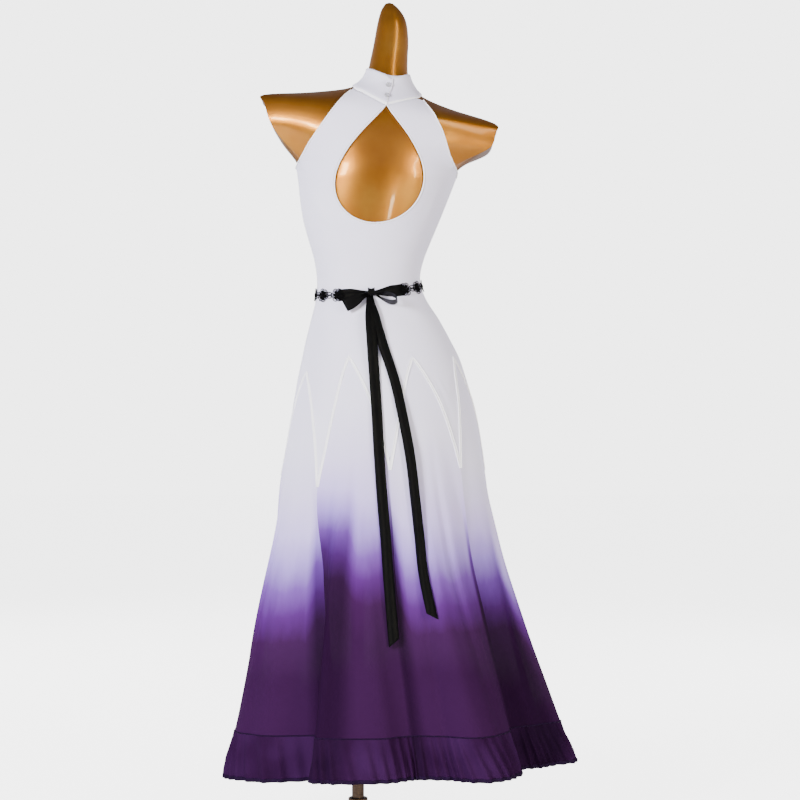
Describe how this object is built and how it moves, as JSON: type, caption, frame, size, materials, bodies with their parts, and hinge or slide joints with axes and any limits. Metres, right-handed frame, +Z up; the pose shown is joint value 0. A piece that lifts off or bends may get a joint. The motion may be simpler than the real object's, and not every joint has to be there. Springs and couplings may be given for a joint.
{
  "type": "ballroom dance dress on a dress form",
  "caption": "Halter ballroom dress with a keyhole back, zigzag hip seam, flared ombre skirt and gathered hem band, belted with lace and a bow, on a limbless dress form.",
  "frame": {"origin": "centre of the underside of the stand's round base plate, on the floor", "axes": "+Z up; the dress's back faces +Y and the wearer's left is at +X"},
  "size_m": [0.7147, 0.5448, 1.691],
  "materials": {
    "white_stretch": "matt white stretch jersey with a cool tint",
    "ombre_chiffon": "sheer chiffon, dyed from white at the hip to deep purple at the hem",
    "gold_paint": "glossy metallic gold coat on a moulded shell",
    "black_satin": "black satin ribbon, soft sheen",
    "black_guipure": "matt black guipure lace",
    "clear_acrylic": "clear polished acrylic",
    "brown_steel": "satin brown plated steel"
  },
  "bodies": {
    "root": {"armhole_binding_left": "white_stretch", "armhole_binding_right": "white_stretch", "base_collar": "brown_steel", "base_plate": "brown_steel", "belt_lace_left": "black_guipure", "belt_lace_right": "black_guipure", "bodice_back": "white_stretch", "bodice_front": "white_stretch", "bow_knot": "black_satin", "bow_loop_left": "black_satin", "bow_loop_right": "black_satin", "bow_tail_left": "black_satin", "bow_tail_right": "black_satin", "button_lower": "clear_acrylic", "button_upper": "clear_acrylic", "collar": "white_stretch", "flounce_1": "ombre_chiffon", "flounce_2": "ombre_chiffon", "flounce_3": "ombre_chiffon", "flounce_4": "ombre_chiffon", "flounce_5": "ombre_chiffon", "flounce_6": "ombre_chiffon", "flounce_7": "ombre_chiffon", "flounce_8": "ombre_chiffon", "form_flange": "brown_steel", "form_pole": "brown_steel", "form_torso": "gold_paint", "gore_1": "ombre_chiffon", "gore_2": "ombre_chiffon", "gore_3": "ombre_chiffon", "gore_4": "ombre_chiffon", "gore_5": "ombre_chiffon", "gore_6": "ombre_chiffon", "gore_7": "ombre_chiffon", "gore_8": "ombre_chiffon", "keyhole_binding": "white_stretch", "ribbon_left": "black_satin", "ribbon_right": "black_satin"}
  },
  "joints": []
}
